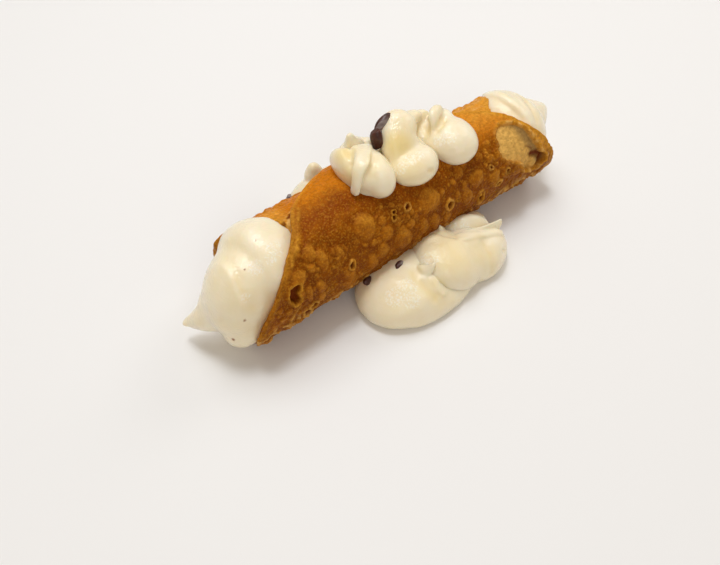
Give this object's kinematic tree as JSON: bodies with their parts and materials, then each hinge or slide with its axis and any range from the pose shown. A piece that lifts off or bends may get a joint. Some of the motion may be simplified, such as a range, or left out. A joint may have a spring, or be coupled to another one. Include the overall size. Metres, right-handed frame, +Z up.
{
  "type": "cannoli",
  "caption": "Fried pastry tube rolled from one sheet, filled with cream that swells out of both mouths, with cream dollops on top, in front and behind.",
  "frame": {"origin": "on the flat underside of the pastry tube, below the middle of its length", "axes": "+X along the tube from the broad left mouth to the right mouth, +Y to the back, +Z up from what it stands on"},
  "size_m": [0.1515, 0.0824, 0.048],
  "materials": {
    "crust": "deep-fried wheat pastry, blistered, golden to dark brown, thinly oiled",
    "cream": "whipped ricotta cream, pale ivory, moist satin",
    "chocolate": "dark chocolate pieces, satin, smeared with cream"
  },
  "bodies": {
    "root": {"shell": "crust", "filling": "cream", "top_dollop_left": "cream", "top_dollop_middle": "cream", "top_dollop_right": "cream", "top_dollop_back": "cream", "front_dollop_middle": "cream", "front_dollop_left": "cream", "front_dollop_back": "cream", "rear_dollop": "cream"}
  },
  "joints": []
}
